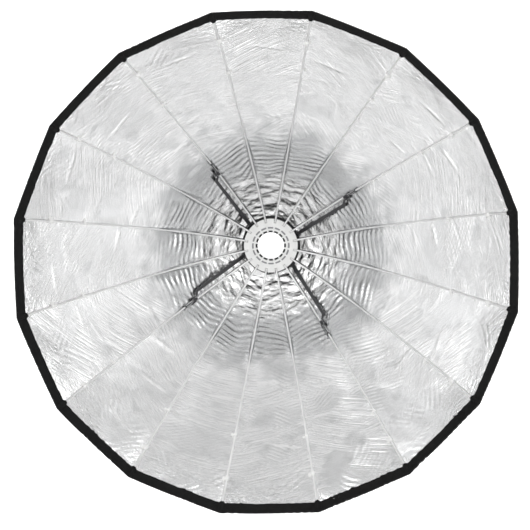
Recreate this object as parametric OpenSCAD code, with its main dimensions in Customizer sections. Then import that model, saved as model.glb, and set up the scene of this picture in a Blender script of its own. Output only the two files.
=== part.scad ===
// Folding parabolic umbrella reflector for studio flash.
// Sixteen rods hinge on a round hub and spread a sixteen-sided dish of silver cloth.
// A runner behind the hub pushes four stays, which carry the rods open and shut.
// The design is drawn with its axis on +Z and opens towards +Z; standing() then
// lays that axis down, so the finished part faces -Y with +Z up.

/* [Dish] */
// Distance between two opposite rod tips, across the corners of the rim
tip_span = 1500; // [1400:10:1600]
// Depth from the vertex of the parabola to the rim
dish_depth = 800; // [740:10:860]
// Height of the vertex of the parabola above the mounting plane
vertex_h = 54; // [50:1:58]
// Thickness of the coated cloth
cloth_t = 1.2; // [0.8:0.1:1.6]
// Radius at which the cloth leaves the rods and drops towards the back of the hub
leave_r = 385; // [370:5:400]
// Radius of the hole in the cloth behind the hub, at the corners
throat_r = 102; // [101:0.5:106]
// Height of the cloth at that hole
throat_h = 14; // [13:0.5:15]

/* [Rods] */
// Radius of a rod
rod_r = 3; // [2.5:0.1:3.2]
// Radius of the soft cap on a rod's tip
cap_r = 3.6; // [3.4:0.1:3.8]
// Radius at which a rod ends
rod_end_r = 742; // [735:1:744]
// Radius on the dish where the rod's hinge pin sits
hinge_r = 84; // [83:0.5:85]
// Radius of a hinge pin
hinge_pin_r = 1.5; // [1.2:0.1:1.8]

/* [Hub] */
// Radius of the throat that the flash head enters
throat_bore_r = 45; // [44.5:0.1:45]
// Outer radius of the rod carrier
carrier_r = 91.5; // [91:0.5:93]
// Height of the back and the front of the rod carrier
carrier_h = [60, 76];
// Radius of the lip behind the hole in the cloth
lip_r = 104.5; // [104:0.5:105.5]

/* [Stays] */
// Distance of a stay's pivot from the hub's axis
stay_foot_r = 98; // [96:0.5:99]
// Sideways distance of a stay from its rod
stay_side = 21; // [20:0.5:23]
// Radius on the dish where a stay meets its rod
stay_head_r = 306; // [302:1:310]

/* [Hidden] */
count = 16;
step = 360 / count;
first_rod = step / 2;
stayed = [2, 6, 10, 14];
stay_turn = [-1, 1, -1, 1];
rim_r = tip_span / 2;
rings = 28;
fit = 0.05;
slot_w = 8;
eye_w = 6.5;
eye_r = 4;
rod_lift = rod_r + 1;
cloth_edge_gap = 0.4;
foot_h = 22;
foot_eye_r = 5.5;
foot_w = 14;
stay_t = 4;
stay_w = 10;
stay_pin_r = 2;
head_hole_r = 5.3;
head_eye_r = 8;
head_eye_side = 8;
head_eye_w = 3.5;
sleeve_r = 4.9;
sleeve_bore_r = 3.6;
bearing_r = 50;
barrel_r = 58;
plate_r = 98;
button_r = 4.5;
screw_r = 1.5;

function two(k) = k < 10 ? str("0", k) : str(k);

// Parabola of the cloth's inner face, over the corner radius r.
function dish_h(r) = vertex_h + dish_depth * pow(r / rim_r, 2);
function dish_slope(r) = 2 * dish_depth * r / pow(rim_r, 2);

// A cubic carries the cloth from the parabola down to the hole behind the hub.
throat_slope = 0.15;
function throat_curve(t, w) = (2 * t * t * t - 3 * t * t + 1) * throat_h
    + (t * t * t - 2 * t * t + t) * w * throat_slope
    + (3 * t * t - 2 * t * t * t) * dish_h(leave_r)
    + (t * t * t - t * t) * w * dish_slope(leave_r);
function cloth_h(r) = r >= leave_r ? dish_h(r)
    : throat_curve((r - throat_r) / (leave_r - throat_r), leave_r - throat_r);

// Centre line of a rod: the parabola moved inwards by the rod's lift.
function rod_point(r) = let (a = atan(dish_slope(r)))
    [r - rod_lift * sin(a), dish_h(r) + rod_lift * cos(a)];

pivot = rod_point(hinge_r);
head = rod_point(stay_head_r);
foot = [stay_foot_r, foot_h];
stay_len = norm(head - foot);
stay_angle = atan2(head[1] - foot[1], head[0] - foot[0]);

// Lays the hub's axis down: the dish opens towards -Y.
module standing() rotate([90, 0, 0]) children();

// Turns to rod number k; x runs outwards along the rod, z along the hub's axis.
module at_rod(k) rotate([0, 0, first_rod + step * (k - 1)]) children();

module each_rod() for (k = [1 : count]) at_rod(k) children();

// A plain ring between two radii and two heights.
module ring(inner, outer, low, high) translate([0, 0, low])
    difference() {
        cylinder(r = outer, h = high - low, $fn = 180);
        translate([0, 0, -1]) cylinder(r = inner, h = high - low + 2, $fn = 180);
    }

// A round bar along y, centred on y = side.
module crossbar(r, w, side = 0) translate([0, side + w / 2, 0])
    rotate([90, 0, 0]) cylinder(r = r, h = w, $fn = 48);

// A curved slot through the carrier.
module arc_slot(inner, outer, angle) rotate([0, 0, -angle / 2]) translate([0, 0, carrier_h[0] - 1])
    rotate_extrude(angle = angle, $fn = 180)
        translate([inner, 0]) square([outer - inner, carrier_h[1] - carrier_h[0] + 2]);

// ---- hub, fixed side -------------------------------------------------------

// Aluminium speedring: a tube with a flange that turns in the hub, and three lugs behind.
module speedring() color("silver") standing() {
    difference() {
        union() {
            translate([0, 0, -14]) cylinder(r = throat_bore_r + 4, h = 15, $fn = 180);
            cylinder(r = 72, h = 6, $fn = 180);
            cylinder(r = bearing_r, h = carrier_h[0] - 2, $fn = 180);
            for (k = [0 : 2]) rotate([0, 0, 90 + 120 * k]) translate([0, 0, -14])
                rotate([0, 0, -15]) rotate_extrude(angle = 30, $fn = 180)
                    translate([throat_bore_r + 3, 0]) square([5, 4]);
        }
        translate([0, 0, -15]) cylinder(r = throat_bore_r, h = 80, $fn = 180);
    }
}

// ---- hub, turning side -----------------------------------------------------

// Black barrel and back plate that carry everything which opens and shuts. The plate's thin
// lip closes the gap behind the hole in the cloth, and is cut away for the lock knob.
module hub_body() color("dimgray") standing() difference() {
    union() {
        translate([0, 0, 7]) cylinder(r = barrel_r, h = carrier_h[0] - 7, $fn = 180);
        translate([0, 0, 7]) cylinder(r = plate_r, h = 6, $fn = 180);
        translate([0, 0, 9]) cylinder(r = lip_r, h = 2, $fn = 180);
    }
    rotate([0, 0, 270]) translate([plate_r, -11, 8]) cube([20, 22, 4]);
    translate([0, 0, 6]) cylinder(r = bearing_r + fit, h = carrier_h[0] - 7.5, $fn = 180);
    translate([0, 0, 40]) cylinder(r = throat_bore_r + 1, h = 30, $fn = 180);
    for (k = [0 : 7]) rotate([0, 0, 45 * k]) translate([54.7, 0, 48])
        cylinder(r = screw_r - 0.2, h = 20, $fn = 32);
    for (k = [0 : 5]) rotate([0, 0, 15 + 60 * k]) translate([84, 0, 6])
        cylinder(r = screw_r, h = 5, $fn = 32);
}

// Black ring bolted behind the back plate; its lip traps the speedring's flange.
module rear_clamp_ring() color("dimgray") standing() difference() {
    union() {
        ring(73, 96, -1, 7);
        ring(62, 96, -5, -1);
    }
    for (k = [0 : 5]) rotate([0, 0, 15 + 60 * k]) translate([84, 0, -6]) {
        cylinder(r = screw_r, h = 20, $fn = 32);
        cylinder(r = 3, h = 4, $fn = 32);
    }
    // Threaded way of the lock knob's stud
    rotate([0, 0, 270]) translate([70, 0, 2]) rotate([0, 90, 0])
        cylinder(r = 2.5 + fit, h = 30, $fn = 48);
    // Pockets of the two release buttons
    for (a = [0, 180]) rotate([0, 0, a]) translate([82, 0, 1]) rotate([0, 90, 0])
        cylinder(r = button_r + fit, h = 20, $fn = 48);
}

// White ring in front: sixteen radial slots hold the rods' eyes, two rows of curved slots
// open the middle.
module rod_carrier() color("white") standing() difference() {
    ring(throat_bore_r - 1, carrier_r, carrier_h[0], carrier_h[1]);
    for (k = [0 : count - 1]) rotate([0, 0, step * k]) {
        arc_slot(45.3, 51.7, 16);
        arc_slot(58.3, 64, 17);
    }
    each_rod() {
        translate([pivot[0] - eye_r - 0.5, -slot_w / 2, carrier_h[0] - 1])
            cube([30, slot_w, carrier_h[1] - carrier_h[0] + 2]);
        translate([pivot[0], 0, pivot[1]]) crossbar(hinge_pin_r, 14.4);
    }
    for (k = [0 : 7]) rotate([0, 0, 45 * k]) translate([54.7, 0, carrier_h[0] - 1]) {
        cylinder(r = screw_r, h = 30, $fn = 32);
        translate([0, 0, carrier_h[1] - carrier_h[0] - 0.5]) cylinder(r = 2.6, h = 5, $fn = 32);
    }
}

// Aluminium ring behind the carrier, with sixteen lugs that fill the outer row of slots.
module retaining_ring() color("gray") standing() {
    ring(barrel_r + fit, 67, carrier_h[0] - 2.5, carrier_h[0]);
    for (k = [0 : count - 1]) rotate([0, 0, step * k]) intersection() {
        ring(58.45, 63.85, carrier_h[0] - 1, carrier_h[1] - 4);
        arc_slot(58, 65, 16.7);
    }
}

// Sixteen pins, one across each slot of the carrier.
module hinge_pins() color("silver") standing() each_rod()
    translate([pivot[0], 0, pivot[1]]) crossbar(hinge_pin_r, 14.4);

module front_screws() color("white") standing()
    for (k = [0 : 7]) rotate([0, 0, 45 * k]) translate([54.7, 0, 0]) {
        translate([0, 0, 50]) cylinder(r = screw_r - 0.2, h = 25, $fn = 32);
        translate([0, 0, carrier_h[1] - 1.5]) cylinder(r = 2.5, h = 1.5, $fn = 32);
    }

module rear_screws() color("black") standing()
    for (k = [0 : 5]) rotate([0, 0, 15 + 60 * k]) translate([84, 0, 0]) {
        translate([0, 0, -3]) cylinder(r = screw_r, h = 13.5, $fn = 32);
        translate([0, 0, -4.5]) cylinder(r = 2.9, h = 2.5, $fn = 32);
    }

// Thumbscrew in the clamp ring; tightened, it stops the hub turning on the speedring.
module lock_knob() color("black") standing() rotate([0, 0, 270]) translate([0, 0, 2])
    rotate([0, 90, 0]) {
        translate([0, 0, 72.5]) cylinder(r = 2.5, h = 30, $fn = 48);
        translate([0, 0, 98]) difference() {
            cylinder(r = 9, h = 15, $fn = 64);
            for (k = [0 : 7]) rotate([0, 0, 45 * k]) translate([10.4, 0, -1])
                cylinder(r = 2.4, h = 17, $fn = 32);
        }
    }

// One of two buttons that let the runner go; each sits in a pocket of the clamp ring.
module release_button(angle) color("black") standing() rotate([0, 0, angle])
    translate([0, 0, 1]) rotate([0, 90, 0]) {
        translate([0, 0, 89]) cylinder(r = button_r, h = 11, $fn = 48);
        translate([0, 0, 99.5]) cylinder(r = button_r - 0.8, h = 1.2, $fn = 48);
    }

// Spring behind a release button: three flat turns in a stack.
module button_spring(angle) color("silver") standing() rotate([0, 0, angle])
    translate([0, 0, 1]) rotate([0, 90, 0]) translate([0, 0, 82.2])
        for (k = [0 : 2]) translate([0, 0, 2.2 * k])
            difference() {
                cylinder(r = 3.6, h = 2.2, $fn = 48);
                translate([0, 0, -1]) cylinder(r = 2.4, h = 4.2, $fn = 48);
                translate([0, 0, 1]) ring(3, 4.5, 0, 0.6);
            }

// ---- runner and stays ------------------------------------------------------

module foot_at() translate([foot[0], 0, foot[1]]) children();

// Black runner: a ring sliding on the barrel, with a forked arm for each stay.
module runner() color("black") standing() difference() {
    union() {
        ring(barrel_r + 0.3, 70, foot_h - 5.5, foot_h + 5);
        for (i = [0 : 3]) at_rod(stayed[i])
            for (side = [-1, 1]) {
                lug = stay_turn[i] * stay_side + side * (foot_w / 2 + 2);
                translate([60, lug - 1.5, foot_h - foot_eye_r])
                    cube([stay_foot_r - 60, 3, 2 * foot_eye_r]);
                foot_at() crossbar(foot_eye_r, 3, lug);
            }
    }
    cylinder(r = barrel_r + 0.3, h = 90, $fn = 180);
    for (i = [0 : 3]) at_rod(stayed[i])
        foot_at() crossbar(stay_pin_r + 0.02, foot_w + 10, stay_turn[i] * stay_side);
}

module stay_pins() color("silver") standing()
    for (i = [0 : 3]) at_rod(stayed[i])
        foot_at() crossbar(stay_pin_r, foot_w + 8, stay_turn[i] * stay_side);

// Outline of a stay seen from the front: straight beside its rod, then bent in to it.
module stay_outline(turn) {
    knee = stay_len - 26;
    inner = head_eye_side;
    polygon([for (p = [[3, stay_side - 6], [40, stay_side - 6.5], [knee, stay_side - stay_w / 2],
        [stay_len - 14, inner - head_eye_w / 2], [stay_len, inner - head_eye_w / 2],
        [stay_len, inner + head_eye_w / 2], [stay_len - 11, inner + head_eye_w / 2],
        [knee + 5, stay_side + stay_w / 2], [40, stay_side + 6.5], [3, stay_side + 6]])
        [p[0], turn * p[1]]]);
}

// Flat stay between the runner and a rod. The hole at its head is larger than the pin,
// because the pin wanders there by about 3 mm as the dish folds.
module stay(i) color("dimgray") standing() at_rod(stayed[i]) foot_at()
    rotate([0, -stay_angle, 0]) difference() {
        union() {
            translate([0, 0, -stay_t / 2]) linear_extrude(stay_t) stay_outline(stay_turn[i]);
            crossbar(foot_eye_r, foot_w - 1, stay_turn[i] * stay_side);
            translate([stay_len, 0, 0])
                crossbar(head_eye_r, head_eye_w, stay_turn[i] * head_eye_side);
        }
        crossbar(stay_pin_r + fit, foot_w + 10, stay_turn[i] * stay_side);
        translate([stay_len, 0, 0]) crossbar(head_hole_r, 30, stay_turn[i] * head_eye_side);
    }

// Dark clip on a stayed rod: two rings and a spine along the rod's front, with the pin
// that its stay's head turns on.
module rib_clamp(i) {
    turn = stay_turn[i];
    along = atan(dish_slope(stay_head_r + 19));
    color("dimgray") standing() at_rod(stayed[i]) translate([head[0], 0, head[1]])
        rotate([0, -along, 0]) {
            difference() {
                union() {
                    translate([-7, 0, 0]) rotate([0, 90, 0]) cylinder(r = sleeve_r, h = 18, $fn = 64);
                    translate([50, 0, 0]) rotate([0, 90, 0]) cylinder(r = sleeve_r, h = 5, $fn = 64);
                    translate([-6, -1.8, 0]) cube([60, 3.6, sleeve_r - 0.1]);
                }
                translate([-8, 0, 0]) rotate([0, 90, 0])
                    cylinder(r = sleeve_bore_r, h = 64, $fn = 64);
            }
            crossbar(stay_pin_r, 6.6, turn * (4.5 + 3.3));
            crossbar(head_eye_r - 0.5, 1.5, turn * (head_eye_side + 2.8));
        }
}

// ---- rods and cloth --------------------------------------------------------

// Sweeps a round section of n sides along points [r, h] in the plane y = 0.
module swept_rod(path, r, n) {
    last = len(path) - 1;
    corners = [for (i = [0 : last]) let (
            a = path[max(i - 1, 0)],
            b = path[min(i + 1, last)],
            u = (b - a) / norm(b - a))
        for (j = [0 : n - 1]) let (c = r * cos(360 * (j + 0.5) / n), s = r * sin(360 * (j + 0.5) / n))
            [path[i][0] - u[1] * c, s, path[i][1] + u[0] * c]];
    sides = [for (i = [0 : last - 1], j = [0 : n - 1]) let (k = (j + 1) % n)
        each [[i * n + j, i * n + k, (i + 1) * n + k], [i * n + j, (i + 1) * n + k, (i + 1) * n + j]]];
    polyhedron(corners, concat(sides,
        [[for (j = [n - 1 : -1 : 0]) j], [for (j = [0 : n - 1]) last * n + j]]));
}

// Rod number k: a curved rod, an eye on the hinge pin and a soft cap on the tip.
module rib(k) {
    radii = [for (i = [0 : rings]) hinge_r + (rod_end_r - hinge_r) * i / rings];
    path = [for (r = radii) rod_point(r)];
    cap = [for (r = [rod_end_r - 24 : 8 : rod_end_r]) rod_point(r)];
    color("gainsboro") standing() at_rod(k) difference() {
        union() {
            swept_rod(path, rod_r, 8);
            swept_rod(cap, cap_r, 8);
            translate([pivot[0], 0, pivot[1]]) crossbar(eye_r, eye_w);
        }
        translate([pivot[0], 0, pivot[1]]) crossbar(hinge_pin_r + fit, 20);
    }
}

// Gore number k, between rods k and k + 1. Its lines across are straight, so it is a
// single-curved strip, cloth_edge_gap short of the rods' planes.
module gore(k) {
    half = step / 2;
    radii = [for (i = [0 : rings]) throat_r + (rim_r - throat_r) * i / rings];
    inner = [for (r = radii) [r * cos(half), r * sin(half) - cloth_edge_gap, cloth_h(r)]];
    last = rings;
    outer = [for (i = [0 : last]) let (
            a = inner[max(i - 1, 0)],
            b = inner[min(i + 1, last)],
            u = [b[0] - a[0], b[2] - a[2]] / norm([b[0] - a[0], b[2] - a[2]]))
        [inner[i][0] + cloth_t * u[1], inner[i][1], inner[i][2] - cloth_t * u[0]]];
    // Four corners a ring: inner right, inner left, outer left, outer right
    corners = [for (i = [0 : last]) each [
        [inner[i][0], -inner[i][1], inner[i][2]], inner[i],
        outer[i], [outer[i][0], -outer[i][1], outer[i][2]]]];
    walls = [for (i = [0 : last - 1], j = [0 : 3]) let (m = (j + 1) % 4, a = 4 * i, b = 4 * i + 4)
        each [[a + j, b + j, b + m], [a + j, b + m, a + m]]];
    color("whitesmoke") standing() rotate([0, 0, step * k]) polyhedron(corners,
        concat(walls, [[0, 1, 2, 3], [4 * last + 3, 4 * last + 2, 4 * last + 1, 4 * last]]));
}

// ---- nodes -----------------------------------------------------------------

speedring();
hub_body();
rear_clamp_ring();
rod_carrier();
retaining_ring();
hinge_pins();
front_screws();
rear_screws();
runner();
stay_pins();
lock_knob();
release_button(0);  // release_button_right
release_button(180);  // release_button_left
button_spring(0);  // button_spring_right
button_spring(180);  // button_spring_left
for (k = [1 : count]) rib(k);
for (k = [1 : count]) gore(k);
for (i = [0 : 3]) stay(i);
for (i = [0 : 3]) rib_clamp(i);
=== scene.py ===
"""The looks of a folding parabolic umbrella reflector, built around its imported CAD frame.

Lengths are metres in the row frame: the dish opens towards -Y and +Z is up. Shapes that go round the
hub's axis are made in polar form, radius r, angle a and height h above the mounting plane, and laid down
by polar().
"""

import math

import bmesh
import bpy
import numpy as np
from mathutils import Matrix, Vector, noise


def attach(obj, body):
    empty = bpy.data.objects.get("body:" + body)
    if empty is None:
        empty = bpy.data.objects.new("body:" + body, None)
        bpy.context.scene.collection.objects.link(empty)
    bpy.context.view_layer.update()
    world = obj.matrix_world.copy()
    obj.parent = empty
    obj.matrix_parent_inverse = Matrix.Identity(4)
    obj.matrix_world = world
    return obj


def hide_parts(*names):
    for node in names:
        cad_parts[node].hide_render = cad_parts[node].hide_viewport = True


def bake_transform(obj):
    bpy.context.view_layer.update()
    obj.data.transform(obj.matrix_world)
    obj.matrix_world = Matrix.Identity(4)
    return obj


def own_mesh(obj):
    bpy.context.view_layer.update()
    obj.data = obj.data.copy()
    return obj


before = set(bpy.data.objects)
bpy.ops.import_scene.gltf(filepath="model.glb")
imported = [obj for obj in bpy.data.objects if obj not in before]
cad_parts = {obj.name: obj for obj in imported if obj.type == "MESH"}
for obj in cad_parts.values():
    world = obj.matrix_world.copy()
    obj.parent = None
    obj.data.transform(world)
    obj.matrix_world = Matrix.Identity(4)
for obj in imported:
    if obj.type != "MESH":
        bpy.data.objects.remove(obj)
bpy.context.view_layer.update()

# ---- the design's driving dimensions, as in the CAD source --------------------------------------------
COUNT = 16
STEP = 2 * math.pi / COUNT
HALF = STEP / 2
RIM_R = 0.750
DEPTH = 0.800
VERTEX_H = 0.054
CLOTH_T = 0.0012
LEAVE_R = 0.385  # inside this radius the cloth leaves the rods
THROAT_R = 0.102  # inner end of the gores
THROAT_H = 0.014
THROAT_SLOPE = 0.15
EDGE_GAP = 0.0004  # from a gore's edge to the plane through the rod
ROD_R = 0.003
ROD_LIFT = 0.004  # from the cloth to the middle of a rod
ROD_END_R = 0.742
HINGE_R = 0.084
STAYED = (2, 6, 10, 14)


def two(k):
    return f"{k:02d}"


def rod_angle(k):
    """Angle of rod k, anticlockwise from the right as seen from the front."""
    return HALF + STEP * (k - 1)


def dish_h(r):
    return VERTEX_H + DEPTH * (r / RIM_R) ** 2


def dish_slope(r):
    return 2 * DEPTH * r / RIM_R**2


def cloth_h(r):
    """Height of the cloth's inner face at corner radius r, with the drop behind the hub."""
    if r >= LEAVE_R:
        return dish_h(r)
    w = LEAVE_R - THROAT_R
    t = (r - THROAT_R) / w
    return ((2 * t**3 - 3 * t**2 + 1) * THROAT_H + (t**3 - 2 * t**2 + t) * w * THROAT_SLOPE
            + (3 * t**2 - 2 * t**3) * dish_h(LEAVE_R) + (t**3 - t**2) * w * dish_slope(LEAVE_R))


def polar(r, a, h, side=0.0):
    """A point at radius r, side metres anticlockwise of it, and height h, in the row frame."""
    x = r * math.cos(a) - side * math.sin(a)
    y = r * math.sin(a) + side * math.cos(a)
    return Vector((x, -h, y))


def smooth(a, b, x):
    """0 below a, 1 above b, smooth in between."""
    t = min(1.0, max(0.0, (x - a) / (b - a)))
    return t * t * (3 - 2 * t)


# ---- camera, lights and stage ---------------------------------------------------------------------------
LENS = 111.2  # millimetres
CAMERA_AT = 1.27, 4.57, 5.2  # degrees to the side, degrees up, metres from the dish's middle
AIM_OFF = -0.0116, 0, -0.0333  # from the dish's middle to the picture's
ROLL = -0.9


def camera():
    """A long lens a little above the dish's axis, and rolled a little."""
    pivot = Vector((0, -0.45, 0))
    azimuth, elevation, distance = math.radians(CAMERA_AT[0]), math.radians(CAMERA_AT[1]), CAMERA_AT[2]
    away = Vector((math.sin(azimuth) * math.cos(elevation), -math.cos(azimuth) * math.cos(elevation),
                   math.sin(elevation)))
    place = pivot + distance * away
    aim = pivot + Vector(AIM_OFF)
    cam = bpy.data.cameras.new("camera")
    cam.lens = LENS
    cam.clip_end = 100
    ob = bpy.data.objects.new("camera", cam)
    turn = (aim - place).to_track_quat("-Z", "Y").to_matrix().to_4x4()
    ob.matrix_world = Matrix.Translation(place) @ turn @ Matrix.Rotation(math.radians(ROLL), 4, "Z")
    bpy.context.scene.collection.objects.link(ob)
    bpy.context.scene.camera = ob


def area_light(name, place, aim, size, power):
    lamp = bpy.data.lights.new(name, "AREA")
    lamp.shape = "RECTANGLE"
    lamp.size, lamp.size_y = size
    lamp.energy = power
    ob = bpy.data.objects.new(name, lamp)
    ob.location = place
    ob.rotation_euler = (Vector(aim) - Vector(place)).to_track_quat("-Z", "Y").to_euler()
    bpy.context.scene.collection.objects.link(ob)


# Soft lights of the room: (degrees round the dish's axis from the right, degrees off the axis,
# narrowness, level)
ROOM_LIGHTS = ((0, 50, 22, 1.8), (180, 50, 22, 1.9), (45, 40, 18, 1.3), (135, 40, 18, 1.2),
               (90, 75, 12, 1.25), (0, 0, 12, 0.6), (205, 42, 16, 0.7), (335, 42, 16, 0.7),
               (0, 22, 40, 0.9), (180, 22, 40, 0.9), (90, 22, 40, 0.7))
ROOM = 0.17  # level of the room itself
BOX_POWER, BACKDROP_POWER = 22, 330  # watts


def studio():
    """A white studio with soft lights round the dish's front, on a pale floor that sweeps up behind."""
    world = bpy.data.worlds.new("studio")
    bpy.context.scene.world = world
    world.use_nodes = True
    nt = world.node_tree
    nt.nodes.clear()
    g = Graph(nt)
    x, y, z = g.split(g.node("ShaderNodeTexCoord").outputs["Generated"])
    room = ROOM
    for turn, off, narrow, level in ROOM_LIGHTS:
        t, o = math.radians(turn), math.radians(off)
        facing = g.math("MULTIPLY", y, -math.cos(o))
        facing = g.math("MULTIPLY_ADD", x, math.sin(o) * math.cos(t), facing)
        facing = g.math("MULTIPLY_ADD", z, math.sin(o) * math.sin(t), facing)
        lobe = g.math("POWER", g.math("MAXIMUM", facing, 0.0), float(narrow))
        room = g.math("MULTIPLY_ADD", lobe, level, room)
    seen = g.node("ShaderNodeLightPath").outputs["Is Camera Ray"]
    back = g.node("ShaderNodeBackground")
    g.link(g.mix_value(seen, room, 1.0), back.inputs["Strength"])
    back.inputs["Color"].default_value = (1, 1, 1, 1)
    out = g.node("ShaderNodeOutputWorld")
    g.link(back.outputs[0], out.inputs[0])
    area_light("left_box", (-3.0, -4.2, 1.6), (0, -0.3, 0), (1.6, 2.0), BOX_POWER)
    area_light("right_box", (3.0, -4.2, 1.6), (0, -0.3, 0), (1.6, 2.0), BOX_POWER)
    area_light("backdrop_left", (-4.5, 3.0, 2.0), (-0.5, 8.5, -0.8), (2.5, 2.5), BACKDROP_POWER)
    area_light("backdrop_right", (4.5, 3.0, 2.0), (0.5, 8.5, -0.8), (2.5, 2.5), BACKDROP_POWER)
    backdrop()
    bpy.context.scene.view_settings.view_transform = "Standard"


def backdrop():
    """The pale floor, swept up behind the dish."""
    low, side, bend, front, back, top, steps = -1.9, 30.0, 3.0, -30.0, 9.0, 16.0, 12
    turns = [math.pi / 2 * i / steps for i in range(steps + 1)]
    profile = [(front, low)]
    profile += [(back - bend + bend * math.sin(t), low + bend - bend * math.cos(t)) for t in turns]
    profile.append((back, top))
    mesh = bpy.data.meshes.new("floor")
    mesh.from_pydata([(x, y, z) for y, z in profile for x in (-side, side)], [],
                     [(2 * i, 2 * i + 1, 2 * i + 3, 2 * i + 2) for i in range(len(profile) - 1)])
    mesh.materials.append(pale_floor())
    mesh.shade_smooth()
    floor = bpy.data.objects.new("floor", mesh)
    bpy.context.scene.collection.objects.link(floor)


# ---- shader building -----------------------------------------------------------------------------------
class Graph:
    """Short names for the node work that the materials share."""

    def __init__(self, tree):
        self.tree = tree

    def node(self, kind, **settings):
        n = self.tree.nodes.new(kind)
        for name, value in settings.items():
            setattr(n, name, value)
        return n

    def link(self, source, target):
        self.tree.links.new(source, target)

    def feed(self, socket, value):
        if hasattr(value, "is_output"):
            self.link(value, socket)
        else:
            socket.default_value = value

    def math(self, operation, *values):
        n = self.node("ShaderNodeMath", operation=operation)
        for i, v in enumerate(values):
            self.feed(n.inputs[i], v)
        return n.outputs[0]

    def split(self, vector):
        n = self.node("ShaderNodeSeparateXYZ")
        self.link(vector, n.inputs[0])
        return n.outputs[0], n.outputs[1], n.outputs[2]

    def join(self, x, y, z):
        n = self.node("ShaderNodeCombineXYZ")
        for socket, v in zip(n.inputs, (x, y, z)):
            self.feed(socket, v)
        return n.outputs[0]

    def drawn(self, across, often, along, oftener, seed):
        """A place for noise that is drawn out into streaks across the gore."""
        return self.join(self.math("MULTIPLY", across, often), self.math("MULTIPLY", along, oftener), seed)

    def ramp(self, factor, stops, span=1.0):
        """A ramp of greys over factor from 0 to span; stops are (place in the span, level)."""
        n = self.node("ShaderNodeValToRGB")
        self.link(factor if span == 1.0 else self.math("DIVIDE", factor, span), n.inputs[0])
        bar = n.color_ramp.elements
        while len(bar) < len(stops):
            bar.new(0.5)
        for e, (place, level) in zip(bar, stops):
            e.position = place
            e.color = (level, level, level, 1)
        return n.outputs[0]

    def noise(self, vector, scale, detail=2.0, rough=0.5):
        n = self.node("ShaderNodeTexNoise")
        self.link(vector, n.inputs["Vector"])
        n.inputs["Scale"].default_value = scale
        n.inputs["Detail"].default_value = detail
        n.inputs["Roughness"].default_value = rough
        return n.outputs["Fac"]

    def ridge(self, value, sharp=6.0):
        """A thin bright line where noise passes through its middle."""
        off = self.math("ABSOLUTE", self.math("SUBTRACT", value, 0.5))
        return self.math("SUBTRACT", 1.0, self.math("MINIMUM", self.math("MULTIPLY", off, sharp), 1.0))

    def mix_value(self, factor, a, b):
        n = self.node("ShaderNodeMix")
        self.feed(n.inputs[0], factor)
        self.feed(n.inputs[2], a)
        self.feed(n.inputs[3], b)
        return n.outputs[0]

    def mix_colour(self, factor, a, b):
        n = self.node("ShaderNodeMix", data_type="RGBA")
        self.feed(n.inputs[0], factor)
        for socket, c in ((n.inputs[6], a), (n.inputs[7], b)):
            self.feed(socket, c if hasattr(c, "is_output") else (*c, 1))
        return n.outputs[2]

    def bump(self, height, distance, strength=1.0, under=None):
        n = self.node("ShaderNodeBump")
        n.inputs["Strength"].default_value = strength
        n.inputs["Distance"].default_value = distance
        self.link(height, n.inputs["Height"])
        if under is not None:
            self.link(under, n.inputs["Normal"])
        return n.outputs[0]


def material(name, metallic=0.0, roughness=0.5, colour=(0.8, 0.8, 0.8)):
    """(material, graph, Principled node) with plain values on the shader's own sockets."""
    m = bpy.data.materials.new(name)
    m.use_nodes = True
    shader = m.node_tree.nodes["Principled BSDF"]
    shader.inputs["Metallic"].default_value = metallic
    shader.inputs["Roughness"].default_value = roughness
    shader.inputs["Base Color"].default_value = (*colour, 1)
    m.diffuse_color = (*colour, 1)
    return m, Graph(m.node_tree), shader


def once(make):
    """Each material is made the first time that it is asked for."""
    made = []

    def get():
        if not made:
            made.append(make())
        return made[0]
    return get


@once
def pale_floor():
    m, g, s = material("pale_floor", roughness=0.9, colour=(0.85, 0.85, 0.85))
    place = g.node("ShaderNodeTexCoord").outputs["Object"]
    grain = g.noise(place, 6.0, 4)
    g.link(g.mix_colour(grain, (0.84, 0.84, 0.84), (0.87, 0.87, 0.87)), s.inputs["Base Color"])
    s.inputs["Emission Color"].default_value = (1, 1, 1, 1)
    s.inputs["Emission Strength"].default_value = 0.15
    return m


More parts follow.
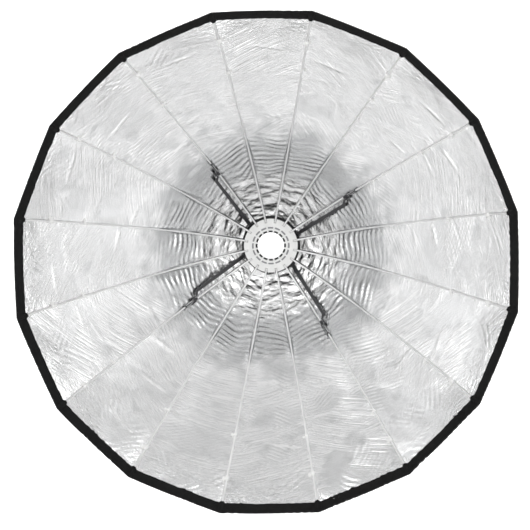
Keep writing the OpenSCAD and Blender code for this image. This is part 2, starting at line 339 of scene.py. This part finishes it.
@once
def silver_lining():
    """Silver-coated cloth. "place" is (across the gore, along it, gore number) in metres."""
    m, g, s = material("silver_lining", metallic=1.0, roughness=0.3, colour=(0.86, 0.86, 0.87))
    place = g.node("ShaderNodeAttribute", attribute_name="place").outputs["Vector"]
    across, along, number = g.split(place)
    slack = g.ramp(along, [(0.0, 1.0), (0.22, 1.0), (0.42, 0.0)])
    # Half the gore's width at this row, and how near the rods and the rim are
    stops = [(length / LONGEST, r / RIM_R) for r, length, _ in ROWS[::len(ROWS) // 8]]
    half_w = g.math("MULTIPLY", g.ramp(along, stops, LONGEST), RIM_R * math.sin(HALF))
    from_mid = g.math("DIVIDE", g.math("ABSOLUTE", across), half_w)
    by_rod = g.ramp(from_mid, [(0.40, 0.0), (0.88, 1.0)])
    rim_from, rim_to = GORE_LENGTH - 0.17, GORE_LENGTH - 0.07
    by_rim = g.ramp(along, [(rim_from / LONGEST, 0.0), (rim_to / LONGEST, 1.0)], LONGEST)
    # Long fine creases that run aslant over the gore, in patches
    aslant = g.math("MULTIPLY_ADD", across, g.math("SINE", number), along)
    lines = g.noise(g.drawn(across, 5.0, aslant, 70.0, number), 1.0, 3)
    patch = g.ramp(g.noise(place, 8.0, 2), [(0.42, 0.08), (0.58, 1.0)])
    creases = g.math("MULTIPLY", g.ridge(lines, 3.0), patch)
    # Short creases that run in from the rods
    short = g.noise(g.drawn(across, 7.0, along, 85.0, number), 1.0, 2)
    some = g.noise(g.join(across, g.math("MULTIPLY", along, 1.5), number), 5.0, 1)
    some = g.ramp(some, [(0.45, 0.0), (0.6, 1.0)])
    short = g.math("MULTIPLY", g.ridge(short, 3.0), g.math("MULTIPLY", by_rod, some))
    # Fine crumple like foil near the hub, and coarser beside the rim
    foil = g.noise(g.drawn(across, 40.0, along, 120.0, number), 1.0, 3, 0.6)
    worn = g.ramp(g.noise(place, 7.0, 2), [(0.40, 0.1), (0.62, 1.0)])
    crushed = g.ridge(g.noise(place, 42.0, 3, 0.55), 3.0)
    fine = g.noise(place, 260.0, 2)
    # Their heights, in thousandths of a metre
    height = g.math("MULTIPLY", creases, 1.2)
    height = g.math("MULTIPLY_ADD", short, 1.1, height)
    height = g.math("MULTIPLY_ADD", g.ridge(foil, 4.0), g.math("MULTIPLY", slack, 0.6), height)
    crushed_h = g.math("MULTIPLY", g.math("MULTIPLY", by_rim, worn), 2.2)
    height = g.math("MULTIPLY_ADD", crushed, crushed_h, height)
    height = g.math("MULTIPLY_ADD", fine, 0.04, height)
    g.link(g.bump(height, 0.0010, 1.0), s.inputs["Normal"])
    rough = g.math("ADD", g.mix_value(slack, 0.20, 0.12),
                   g.math("MULTIPLY", g.noise(place, 30.0, 3), 0.06))
    g.link(rough, s.inputs["Roughness"])
    # Painted shade: the base colour is darkened over the band round the hub where the cloth is folded,
    # standing in for the shade between the folds; elsewhere the colour's spread is tone that varies at
    # random
    painted_fold_shade = g.ramp(along, [(0.14, 0.0), (0.22, 1.0), (0.29, 1.0), (0.50, 0.0)])
    tone_and_painted_shade = g.math("SUBTRACT", g.noise(place, 16.0, 3), g.math("MULTIPLY", painted_fold_shade, 0.7))
    bright_share = g.ramp(tone_and_painted_shade, [(0.0, 0.0), (0.42, 1.0)])
    # The dark end of this mix is painted fold shade in the folded band, and random tone elsewhere
    g.link(g.mix_colour(bright_share, (0.62, 0.625, 0.63), (0.95, 0.95, 0.95)), s.inputs["Base Color"])
    return m


@once
def black_cloth():
    """Black woven nylon on the dish's back."""
    m, g, s = material("black_cloth", roughness=0.6, colour=(0.02, 0.02, 0.021))
    place = g.node("ShaderNodeAttribute", attribute_name="place").outputs["Vector"]
    across, along, _ = g.split(place)
    weave = g.math("MULTIPLY", g.math("SINE", g.math("MULTIPLY", across, THREAD)),
                   g.math("SINE", g.math("MULTIPLY", along, THREAD)))
    wrinkle = g.ridge(g.noise(place, 24.0, 3), 3.0)
    under = g.bump(wrinkle, 0.0006, 0.6)
    g.link(g.bump(weave, 0.0001, 0.5, under), s.inputs["Normal"])
    g.link(g.mix_colour(g.noise(place, 20.0, 3), (0.014, 0.014, 0.015), (0.03, 0.03, 0.032)),
           s.inputs["Base Color"])
    g.link(g.math("MULTIPLY_ADD", g.noise(place, 50.0, 2), 0.2, 0.48), s.inputs["Roughness"])
    s.inputs["Sheen Weight"].default_value = 0.25
    return m


@once
def edge_tape():
    """Black hook-and-loop tape along the rim."""
    m, g, s = material("edge_tape", roughness=0.85, colour=(0.018, 0.018, 0.018))
    place = g.node("ShaderNodeAttribute", attribute_name="place").outputs["Vector"]
    fuzz = g.noise(place, 900.0, 3, 0.7)
    g.link(g.bump(fuzz, 0.0008, 0.9), s.inputs["Normal"])
    g.link(g.mix_colour(g.noise(place, 60.0, 4), (0.006, 0.006, 0.006), (0.015, 0.015, 0.015)),
           s.inputs["Base Color"])
    g.link(g.math("MULTIPLY_ADD", fuzz, 0.12, 0.82), s.inputs["Roughness"])
    s.inputs["Specular IOR Level"].default_value = 0.15
    return m


GRAIN_DEPTH = 0.00008
COLOUR_SPREAD = 0.04
THREAD = 5200.0  # turns the distance over the black cloth into the weave's phase


def coated(name, colour, roughness, metallic=0.0, grain=900.0):
    """Moulded, painted or turned surfaces: a fine grain, and colour and gloss that vary a little."""
    m, g, s = material(name, metallic, roughness, colour)
    place = g.node("ShaderNodeTexCoord").outputs["Object"]
    g.link(g.bump(g.noise(place, grain, 3), GRAIN_DEPTH, 0.8), s.inputs["Normal"])
    dark = tuple(c * (1 - 4 * COLOUR_SPREAD) for c in colour)
    light = tuple(min(1.0, c * (1 + 2 * COLOUR_SPREAD)) for c in colour)
    g.link(g.mix_colour(g.noise(place, 35.0, 4), dark, light), s.inputs["Base Color"])
    g.link(g.math("MULTIPLY_ADD", g.noise(place, 80.0, 3), 0.16, roughness - 0.08), s.inputs["Roughness"])
    return m


@once
def rod_metal():
    return coated("rod_metal", (0.90, 0.90, 0.90), 0.32, 0.35, 500.0)


@once
def white_plastic():
    return coated("white_plastic", (0.90, 0.90, 0.89), 0.42, 0.0, 1200.0)


@once
def soft_cap():
    return coated("soft_cap", (0.80, 0.80, 0.79), 0.6)


@once
def black_plastic():
    return coated("black_plastic", (0.022, 0.022, 0.023), 0.45)


@once
def stay_coat():
    return coated("stay_coat", (0.045, 0.045, 0.048), 0.38, 0.0, 1500.0)


@once
def bare_aluminium():
    return coated("bare_aluminium", (0.62, 0.62, 0.63), 0.34, 1.0, 700.0)


@once
def grey_ring():
    return coated("grey_ring", (0.34, 0.34, 0.35), 0.4, 1.0, 700.0)


@once
def steel():
    return coated("steel", (0.56, 0.56, 0.57), 0.3, 1.0, 700.0)


@once
def white_webbing():
    """Narrow white tape of the loops, with its ribs across."""
    m, g, s = material("white_webbing", roughness=0.75, colour=(0.94, 0.94, 0.93))
    place = g.node("ShaderNodeTexCoord").outputs["Object"]
    rib = g.noise(place, 1500.0, 2)
    g.link(g.bump(rib, 0.0003, 0.8), s.inputs["Normal"])
    g.link(g.mix_colour(rib, (0.88, 0.88, 0.87), (0.97, 0.97, 0.96)), s.inputs["Base Color"])
    s.inputs["Sheen Weight"].default_value = 0.3
    return m


# ---- mesh building ---------------------------------------------------------------------------------------
class Mesh:
    """Points, faces, a material index per face and a place per point, for one piece."""

    def __init__(self):
        self.points, self.faces, self.kinds, self.places, self.weights = [], [], [], [], []

    def add(self, points, faces, kind, places=None, weights=None):
        base = len(self.points)
        self.points += points
        self.faces += [[base + i for i in f] for f in faces]
        self.kinds += kind if isinstance(kind, list) else [kind] * len(faces)
        self.places += places or [(0, 0, 0)] * len(points)
        self.weights += weights or [0.0] * len(points)

    def piece(self, name, materials, smooth_angle=40):
        mesh = bpy.data.meshes.new(name)
        mesh.from_pydata(self.points, [], self.faces)
        for m in materials:
            mesh.materials.append(m)
        mesh.polygons.foreach_set("material_index", self.kinds)
        mesh.attributes.new("place", "FLOAT_VECTOR", "POINT").data.foreach_set(
            "vector", np.array(self.places, np.float32).ravel())
        bm = bmesh.new()
        bm.from_mesh(mesh)
        bmesh.ops.recalc_face_normals(bm, faces=bm.faces)
        bm.to_mesh(mesh)
        bm.free()
        mesh.shade_smooth()
        mesh.set_sharp_from_angle(angle=math.radians(smooth_angle))
        mesh.update()
        ob = bpy.data.objects.new(name, mesh)
        bpy.context.scene.collection.objects.link(ob)
        return ob


def closed_grid(mesh, top, bottom, kinds, places, weights):
    """A thick sheet from two grids of points [row][column]; kinds are its top's, bottom's and edge's
    materials."""
    rows, cols = len(top), len(top[0])
    points = [p for row in top for p in row] + [p for row in bottom for p in row]
    under = rows * cols

    def at(i, j, low=0):
        return low + i * cols + j
    faces, kind = [], []
    for i in range(rows - 1):
        for j in range(cols - 1):
            faces.append([at(i, j), at(i + 1, j), at(i + 1, j + 1), at(i, j + 1)])
            faces.append([at(i, j, under), at(i, j + 1, under),
                          at(i + 1, j + 1, under), at(i + 1, j, under)])
            kind += [kinds[0], kinds[1]]
    border = [at(0, j) for j in range(cols)]
    border += [at(i, cols - 1) for i in range(1, rows)]
    border += [at(rows - 1, j) for j in range(cols - 2, -1, -1)]
    border += [at(i, 0) for i in range(rows - 2, 0, -1)]
    for a, b in zip(border, border[1:] + border[:1]):
        faces.append([a, b, b + under, a + under])
        kind.append(kinds[2])
    mesh.add(points, faces, kind, places * 2, weights * 2)


def tube(mesh, path, radii, sides, kind, frames):
    """A round tube through path; frames gives each point's two cross directions."""
    points, faces = [], []
    for p, r, (u, v) in zip(path, radii, frames):
        for j in range(sides):
            t = 2 * math.pi * j / sides
            points.append(p + r * (math.cos(t) * u + math.sin(t) * v))
    last = len(path) - 1
    for i in range(last):
        for j in range(sides):
            k = (j + 1) % sides
            faces.append([i * sides + j, i * sides + k, (i + 1) * sides + k, (i + 1) * sides + j])
    faces.append(list(range(sides - 1, -1, -1)))
    faces.append([last * sides + j for j in range(sides)])
    mesh.add(points, faces, kind)


def join_loops(mesh, loops, kind):
    """A closed skin through loops of points, the last joined to the first."""
    n, sides = len(loops), len(loops[0])
    faces = [[i * sides + j, i * sides + (j + 1) % sides, (i + 1) % n * sides + (j + 1) % sides,
              (i + 1) % n * sides + j] for i in range(n) for j in range(sides)]
    mesh.add([p for one in loops for p in one], faces, kind)


# ---- cloth -----------------------------------------------------------------------------------------------
COLS = 40
SLACK_ROWS, TIGHT_ROWS = 120, 150  # rows inside SLACK_R, and outside it
SLACK_R = 0.44
BILLOW = 0.010  # how far a gore's middle stands out between its rods
BACK_SHARE = 0.6  # share of the lining's relief that shows on the back
GORE_SEED = 3.7  # sets each gore's wrinkles and noise apart in the materials
STRIP = 0.012  # width at each edge within which follow() gives a point none, or all, of the far rod's motion
# Radius that the folds round the hub reach out to, gore by gore
FOLDS_TO = (0.38, 0.30, 0.385, 0.40, 0.39, 0.31, 0.395, 0.38,
            0.39, 0.37, 0.40, 0.38, 0.40, 0.33, 0.39, 0.39)
# Distance from fold to fold, and height, of the folds and of the finer ones on them
FOLD_PITCH, FOLD_H = 0.021, 0.0046
FINE_PITCH, FINE_H = 0.0088, 0.0015
PUCKER_PITCH, PUCKER_H = 0.021, 0.0036
# How crumpled each gore is near the hub
CRUMPLE = (0.45, 0.8, 1.0, 0.8, 0.9, 1.0, 0.9, 0.5,
           0.45, 0.8, 1.0, 1.0, 1.0, 1.0, 0.9, 0.5)
# Slope of each gore's folds across it, in waves from rod to rod
FOLDS_LEAN = (0.5, -0.8, 0.9, -0.3, 1.2, 0.6, -1.0, 0.4,
              -0.7, 0.8, 0.2, -0.6, 0.5, -0.5, 0.9, -0.9)
# How puckered each gore is beside the rim
PUCKERED = (0.8, 0.5, 0.7, 1.1, 1.2, 1.1, 0.8, 0.9, 1.2, 1.8, 2.1, 2.0, 2.2, 2.1, 1.8, 1.3)


def crest(t, sharp=0.8):
    """A row of sharp crests, one for each whole number, from 0 to 1."""
    return 1 - abs(math.sin(math.pi * t)) ** sharp


def lap(t, turn=0.8):
    """Folds that lie over like tiles, one for each whole number: a long rise and a short fall, within
    0 and 1."""
    f = t - math.floor(t)
    return smooth(-0.3, 1.3, f / turn if f < turn else (1 - f) / (1 - turn))


def facets(x, y, z):
    """Flat-sided dents that meet in sharp creases, as in crumpled foil."""
    near = noise.voronoi(Vector((x, y, z)), distance_metric="DISTANCE")[0]
    return min(1.0, near[0])


def creases(k, u, s, y):
    """Relief of the taut outer cloth: broad waves, patches of parallel creases, shorter creases beside
    the rods, and a few long folds."""
    h = 0.0016 * noise.noise(Vector((y * 4, s * 5, 2.2 * k)))
    patch = smooth(0.08, 0.30, noise.noise(Vector((u * 1.2, s * 5.5, 4.4 * k))))
    if patch > 0:
        lean = 0.9 if k % 2 else -0.7
        t = (s + lean * y) / 0.017 + 0.7 * noise.noise(Vector((y * 8, s * 5, 8.1 * k)))
        h += patch * 0.0011 * crest(t, 1.0)
    side = 1 if u > 0 else -1
    patch = smooth(-0.05, 0.2, noise.noise(Vector((side * 3, s * 6, 6.3 * k))))
    patch *= smooth(0.40, 0.85, abs(u))
    if patch > 0:
        t = (s + 0.15 * side * y) / 0.0125 + 0.5 * noise.noise(Vector((y * 6, s * 9, 9.4 * k)))
        h += patch * 0.0008 * crest(t, 1.0)
    for i in range(3):
        start = 0.50 + 0.17 * i + 0.06 * math.sin(4.1 * k + 2.7 * i)
        lean = 0.25 * math.sin(7.3 * k + 1.9 * i)
        middle = 0.6 * math.sin(2.9 * k + 5.3 * i)
        off = (s - start - lean * y) / 0.007
        ends = 1 - smooth(0.15, 0.55, abs(u - middle))
        h += 0.0017 * abs(math.sin(3.3 * k + 2.1 * i)) * ends * math.exp(-off * off)
    return h


def fold_height(k, u, r, s, y):
    """How far the lining stands off its plain surface: k gore, u from -1 to 1 across, r corner radius,
    s distance along the gore, y distance across it."""
    seam = min(1.0, max(0.0, (1 - abs(u)) * (7 - 3 * smooth(0.33, 0.36, r))))
    out = FOLDS_TO[k - 1]
    drift = 0.02 * noise.noise(Vector((u * 1.5, 3.1 * k, 0.5)))
    bands = smooth(0.20, 0.25, r) * (1 - smooth(out - 0.035 + drift, out + 0.012 + drift, r))
    chaos = 1 - smooth(0.235, 0.30, r)
    h = 0.0
    if bands > 0:
        wander = noise.noise(Vector((u * 0.7, s * 9, 1.7 * k)))
        t = s / FOLD_PITCH + 0.6 * FOLDS_LEAN[k - 1] * u + 1.3 * wander
        size = 0.25 + 1.3 * max(0.0, 0.45 + noise.noise(Vector((u * 1.3 + 7, s * 14, 2.9 * k))))
        h += bands * (1 - 0.45 * chaos) * FOLD_H * size * lap(t)
        wander = noise.noise(Vector((u * 2.3, s * 13, 6.1 * k)))
        t = s / FINE_PITCH - 0.8 * FOLDS_LEAN[k - 1] * u + 1.5 * wander
        size = max(0.0, 0.3 + noise.noise(Vector((u * 2.1 + 3, s * 17, 1.3 * k))))
        h += bands * FINE_H * size * lap(t)
    if chaos > 0:
        chaos *= CRUMPLE[k - 1]
        lean = s + 0.25 * y * math.sin(2.3 * k)
        h += chaos * 0.0090 * facets(y * 15, lean * 32, 7.7 * k)
        h += chaos * 0.0042 * facets(y * 38 + 9, lean * 72, 3.3 * k)
        h += chaos * 0.0050 * facets(y * 30, s * 18, 5.2 * k)
    calm = smooth(out - 0.02, out + 0.06, r)
    if calm > 0:
        h += calm * creases(k, u, s, y)
    # Puckers that run in from the sewn rim
    rim = smooth(0.60, 0.73, r)
    if rim > 0:
        t = (y + 0.6 * (s - GORE_LENGTH) * (1 if u > 0 else -1)) / PUCKER_PITCH
        t += 1.1 * noise.noise(Vector((y * 12, s * 7, 6.6 * k)))
        size = max(0.0, 0.30 + noise.noise(Vector((u * 2.2, s * 8, 5.9 * k + 3))))
        h += rim * PUCKERED[k - 1] * PUCKER_H * size * crest(t, 0.9)
    return seam * h


def billow(u, r):
    """How far a taut gore stands out between its rods."""
    return BILLOW * max(0.0, 1 - u * u) * smooth(0.34, 0.50, r) * (1 - 0.7 * smooth(0.66, 0.75, r))


# Loops that tie the cloth to the rods: (radius on the dish, length, and size)
LOOPS = ((0.585, 0.010, 0.0052), (0.675, 0.017, 0.0060))


def loop_r(k, i):
    """Radius of loop i on rod k; each is sewn a little off its place."""
    return LOOPS[i][0] + 0.008 * math.sin(5.1 * k + 2.3 * i)


def gore_rows():
    """(corner radius, distance along, rise angle) of a gore's rows, closer together where the cloth is
    slack."""
    radii = [THROAT_R + (SLACK_R - THROAT_R) * i / SLACK_ROWS for i in range(SLACK_ROWS)]
    radii += [SLACK_R + (RIM_R - SLACK_R) * i / TIGHT_ROWS for i in range(TIGHT_ROWS + 1)]
    s, out = 0.0, []
    for i, r in enumerate(radii):
        if i:
            s += math.hypot((r - radii[i - 1]) * math.cos(HALF), cloth_h(r) - cloth_h(radii[i - 1]))
        near = 0.0005
        low, high = max(THROAT_R, r - near), min(RIM_R, r + near)
        a = math.atan2(cloth_h(high) - cloth_h(low), (high - low) * math.cos(HALF))
        out.append((r, s, a))
    return out


ROWS = gore_rows()
GORE_LENGTH = ROWS[-1][1]
LONGEST = 1.1  # a round length over a gore's, for ramps along it
TAPE_W = 0.0445
TAPE_T = 0.0013
TAPE_ROWS = 10
TAPE_LAP = 0.0005  # how far the sewn ends of two gores' tapes lap
POCKET = 0.0078  # how far the tape stands off the cloth, over the rods' tips


def gore_point(k, r, a, u, lift, gap=EDGE_GAP):
    """A point of gore k at corner radius r, where the surface rises at angle a; u runs from -1 to 1
    across, and lift is inwards. The edges are mitred, gap short of the plane through the rod."""
    lift -= billow(u, r)
    out = r * math.cos(HALF) - lift * math.sin(a)
    side = u * (out * math.tan(HALF) - gap)
    return polar(out, STEP * k, cloth_h(r) + lift * math.cos(a), side)


def at_length(s):
    """(radius, rise angle) on a gore, s metres from its inner end."""
    s = min(max(s, 0.0), GORE_LENGTH)
    for (r0, s0, a0), (r1, s1, a1) in zip(ROWS, ROWS[1:]):
        if s <= s1:
            t = (s - s0) / (s1 - s0)
            return r0 + t * (r1 - r0), a0 + t * (a1 - a0)
    return ROWS[-1][0], ROWS[-1][2]


def follow(u, half_w):
    """Share of the far rod's motion: none within a strip by the near rod, and all of it within one by
    the far rod."""
    strip = min(STRIP, 0.3 * half_w)
    return min(1.0, max(0.0, ((1 + u) * half_w - strip) / (2 * half_w - 2 * strip)))


def tape(mesh, k, us, inside):
    """Black tape along the rim. Inside, it has a wavy sewn edge and a pocket over each rod's tip."""
    top, bottom, places, weights = [], [], [], []
    for i in range(TAPE_ROWS + 1):
        upper, lower = [], []
        for u in us:
            start = GORE_LENGTH - TAPE_W - 0.0026 * noise.noise(Vector((u * 9, k * 5.5, 0)))
            s = start + (GORE_LENGTH - start) * i / TAPE_ROWS
            r, a = at_length(s)
            half_w = r * math.sin(HALF)
            h = fold_height(k, u, r, s, u * half_w)
            if inside:
                away = (1 - abs(u)) * half_w
                pocket = POCKET * (1 - smooth(0.004, 0.010, away)) * smooth(0.0, 0.016, GORE_LENGTH - s)
                lifts = h + pocket + (0.0008 if i == 0 else 0.0014), h + pocket + 0.0001
            else:
                back = BACK_SHARE * h - CLOTH_T
                lifts = back - 0.0002, back - TAPE_T
            upper.append(gore_point(k, r, a, u, lifts[0], -TAPE_LAP))
            lower.append(gore_point(k, r, a, u, lifts[1], -TAPE_LAP))
            places.append((u * half_w, s, GORE_SEED * k))
            weights.append(follow(u, half_w))
        top.append(upper)
        bottom.append(lower)
    closed_grid(mesh, top, bottom, (2, 2, 2), places, weights)


# Sections of the seam on the dish's back: (distance in from the gore's edge, low, high) off the cloth.
# The near edge's half laps over the far edge's, so that no light comes through.
SEAM_NEAR = ((-0.0016, 0.0024, 0.0030), (0.0, 0.0016, 0.0032), (0.0025, 0.0002, 0.0018),
             (0.0065, 0.0002, 0.0006))
SEAM_FAR = ((0.0065, 0.0002, 0.0005), (0.0025, 0.0002, 0.0010), (0.0, 0.0002, 0.0010))


def patch_on(mesh, k, end, rows, section, kind):
    """A strip of cloth along one edge of gore k. end is -1 or 1, and section is a row of (distance in
    from the edge, low, high)."""
    top, bottom, places, weights = [], [], [], []
    for r, s, a in rows:
        upper, lower = [], []
        half_w = r * math.sin(HALF)
        for inset, low, high in section:
            u = end * (1 - inset / half_w)
            h = fold_height(k, u, r, s, u * half_w)
            if kind == 1:  # on the black back
                upper.append(gore_point(k, r, a, u, BACK_SHARE * h - CLOTH_T - low))
                lower.append(gore_point(k, r, a, u, BACK_SHARE * h - CLOTH_T - high))
            else:
                upper.append(gore_point(k, r, a, u, h + high))
                lower.append(gore_point(k, r, a, u, h + low))
            places.append((u * half_w, s, GORE_SEED * k))
            weights.append(follow(u, half_w))
        top.append(upper)
        bottom.append(lower)
    closed_grid(mesh, top, bottom, (kind, kind, kind), places, weights)


def tails(mesh, k):
    """White ends of the rod's loops, sewn down beside the far rod."""
    for i, (_, length, _) in enumerate(LOOPS):
        r = loop_r(k % COUNT + 1, i)
        rows = []
        for j in range(5):
            radius = r + 0.5 * length * (j / 4 - 0.5)
            s = next(row[1] for row in ROWS if row[0] >= radius)
            rows.append((radius, s, math.atan2(dish_slope(radius), math.cos(HALF))))
        section = [(0.0135 - 0.0023 * j, 0.0004, 0.0013 + 0.0002 * j) for j in range(5)]
        patch_on(mesh, k, 1, rows, section, 3)


def gore(k):
    """One gore: silver lining, black back, seam, the loops' ends, and the black tape along the rim."""
    mesh = Mesh()
    us = [-1 + 2 * j / COLS for j in range(COLS + 1)]
    top, bottom, places, weights = [], [], [], []
    for r, s, a in ROWS:
        half_w = r * math.sin(HALF)
        line = [(u, fold_height(k, u, r, s, u * half_w)) for u in us]
        top.append([gore_point(k, r, a, u, h) for u, h in line])
        bottom.append([gore_point(k, r, a, u, BACK_SHARE * h - CLOTH_T) for u, h in line])
        places += [(u * half_w, s, GORE_SEED * k) for u in us]
        weights += [follow(u, half_w) for u in us]
    closed_grid(mesh, top, bottom, (0, 1, 1), places, weights)
    # The tape needs more columns at its pockets
    fine = sorted(us + [-0.985, -0.97, -0.93, -0.92, 0.92, 0.93, 0.97, 0.985])
    tape(mesh, k, fine, True)
    tape(mesh, k, fine, False)
    sewn = [row for row in ROWS[::3] if row[1] < GORE_LENGTH - TAPE_W]
    patch_on(mesh, k, -1, sewn, SEAM_NEAR, 1)
    patch_on(mesh, k, 1, sewn, SEAM_FAR, 1)
    tails(mesh, k)
    materials = [silver_lining(), black_cloth(), edge_tape(), white_webbing()]
    ob = mesh.piece("gore_cloth_" + two(k), materials, 60)
    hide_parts("gore_" + two(k))
    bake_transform(ob)


# ---- rods and their loops --------------------------------------------------------------------------------
ROD_RINGS = 56
ROD_SIDES = 12
EYE_R, EYE_HOLE_R, EYE_W = 0.004, 0.00155, 0.0065
CAP_L = 0.026
# The cap's outline: (share of its length, radius)
CAP = ((0.0, 0.0031), (0.0005, 0.0036), (0.5, 0.0036), (0.86, 0.0036), (0.94, 0.0032), (0.985, 0.0022),
       (1.0, 0.0008))
WEBBING_HOLE_R, WEBBING_BASE = 0.0032, -0.0036


def rod_frame(k, r):
    """Point on the middle of rod k, where the dish has radius r, and the directions along the rod,
    across it (anticlockwise) and inwards."""
    a = rod_angle(k)
    rise = math.atan(dish_slope(r))
    p = polar(r - ROD_LIFT * math.sin(rise), a, dish_h(r) + ROD_LIFT * math.cos(rise))
    along = polar(math.cos(rise), a, math.sin(rise))
    across = polar(0, a, 0, 1.0)
    inwards = polar(-math.sin(rise), a, math.cos(rise))
    return p, along, across, inwards


def rod(k, mesh):
    """The rod's tube, the soft cap on its tip, and its eye."""
    path, radii, frames = [], [], []
    first, last = HINGE_R + 0.003, ROD_END_R - 0.004
    for i in range(ROD_RINGS + 1):
        r = first + (last - first) * i / ROD_RINGS
        p, _, across, inwards = rod_frame(k, r)
        path.append(p)
        radii.append(ROD_R)
        frames.append((across, inwards))
    tube(mesh, path, radii, ROD_SIDES, 0, frames)
    # Soft cap with a rounded end
    path, radii, frames = [], [], []
    for t, radius in CAP:
        p, _, across, inwards = rod_frame(k, ROD_END_R - CAP_L * (1 - t) * 0.45)
        path.append(p)
        radii.append(radius)
        frames.append((across, inwards))
    tube(mesh, path, radii, ROD_SIDES, 1, frames)
    eye(mesh, k)


def eye(mesh, k):
    """The rod's eye on its hinge pin: a round boss with a bore, its edges eased."""
    p, along, across, inwards = rod_frame(k, HINGE_R)
    ease = 0.0004
    profile = [(EYE_HOLE_R, -EYE_W / 2), (EYE_R - ease, -EYE_W / 2), (EYE_R, -EYE_W / 2 + ease),
               (EYE_R, EYE_W / 2 - ease), (EYE_R - ease, EYE_W / 2), (EYE_HOLE_R, EYE_W / 2)]
    around = [2 * math.pi * i / 32 for i in range(32)]
    directions = [math.cos(t) * along + math.sin(t) * inwards for t in around]
    join_loops(mesh, [[p + radius * d + y * across for d in directions] for radius, y in profile], 0)


def loop(k, mesh, i):
    """A white sleeve of tape round the rod, rounded at its ends."""
    _, length, size = LOOPS[i]
    around = [2 * math.pi * j / 20 for j in range(20)]
    loops = []
    for t, swell in ((-0.5, 0.80), (-0.42, 0.95), (0.0, 1.0), (0.42, 0.95), (0.5, 0.80)):
        p, _, across, inwards = rod_frame(k, loop_r(k, i) + 0.5 * t * length)
        radius = size * swell
        middle = p + (WEBBING_BASE + radius) * inwards
        loops.append([middle + radius * (math.cos(a) * across + math.sin(a) * inwards) for a in around])
    for t in (0.5, -0.5):
        p, _, across, inwards = rod_frame(k, loop_r(k, i) + 0.5 * t * length)
        loops.append([p + WEBBING_HOLE_R * (math.cos(a) * across + math.sin(a) * inwards)
                      for a in around])
    join_loops(mesh, loops, 2)


def rib(k):
    """Rod k with its cap, eye and loops, in place of the CAD's."""
    mesh = Mesh()
    rod(k, mesh)
    for i in range(len(LOOPS)):
        loop(k, mesh, i)
    ob = mesh.piece("rod_" + two(k), [rod_metal(), soft_cap(), white_webbing()])
    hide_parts("rib_" + two(k))
    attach(ob, "rib_" + two(k))


# ---- springs of the release buttons -------------------------------------------------------------------
SPRING_AT, SPRING_L, SPRING_LIFT = 0.0822, 0.0066, 0.001


def button_spring(name, side):
    """A wire coil behind a release button, flatter at its ends."""
    wire, mean_r, turns, per_turn = 0.0005, 0.0030, 3.5, 24
    count = int(turns * per_turn)
    path, frames = [], []
    for i in range(count + 1):
        t = i / count
        a = 2 * math.pi * turns * t
        reach = wire + (SPRING_L - 2 * wire) * (0.5 * t + 0.5 * smooth(0.0, 1.0, t))
        out = Vector((0, math.cos(a), math.sin(a)))
        path.append(Vector((side * (SPRING_AT + reach), -SPRING_LIFT, 0)) + mean_r * out)
        frames.append((out, Vector((1, 0, 0))))
    mesh = Mesh()
    tube(mesh, path, [wire] * len(path), 10, 0, frames)
    ob = mesh.piece("coil_" + name, [steel()])
    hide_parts("button_spring_" + name)
    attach(ob, "hub")
    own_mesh(ob)


# ---- CAD nodes that stay --------------------------------------------------------------------------------
def finish_node(name, finish, ease=0.0004):
    """Gives a CAD node its material, and eases its sharp edges."""
    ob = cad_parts[name]
    ob.data.materials.clear()
    ob.data.materials.append(finish)
    weld = ob.modifiers.new("weld", "WELD")
    weld.merge_threshold = 1e-6
    if ease:
        bevel = ob.modifiers.new("ease", "BEVEL")
        bevel.width = ease
        bevel.segments = 2
        bevel.limit_method = "ANGLE"
        bevel.angle_limit = math.radians(35)
        bevel.harden_normals = False


def hub():
    """Materials and eased edges for the hub's CAD nodes, the stays and their sleeves on the rods."""
    for name, finish, ease in (
            ("speedring", bare_aluminium(), 0.0005), ("hub_body", black_plastic(), 0.0005),
            ("rear_clamp_ring", black_plastic(), 0.0006), ("rod_carrier", white_plastic(), 0.0004),
            ("retaining_ring", grey_ring(), 0.0003), ("hinge_pins", steel(), 0.0002),
            ("front_screws", white_plastic(), 0.0003), ("rear_screws", black_plastic(), 0.0003),
            ("runner", black_plastic(), 0.0004), ("stay_pins", steel(), 0.0002),
            ("lock_knob", black_plastic(), 0.0005), ("release_button_right", black_plastic(), 0.0004),
            ("release_button_left", black_plastic(), 0.0004)):
        finish_node(name, finish, ease)
    for k in STAYED:
        finish_node("stay_" + two(k), stay_coat(), 0.0005)
        finish_node("rib_clamp_" + two(k), stay_coat(), 0.0004)


# ---- the whole ------------------------------------------------------------------------------------------
camera()
studio()
for number in range(1, COUNT + 1):
    gore(number)
    rib(number)
hub()
button_spring("right", 1)
button_spring("left", -1)
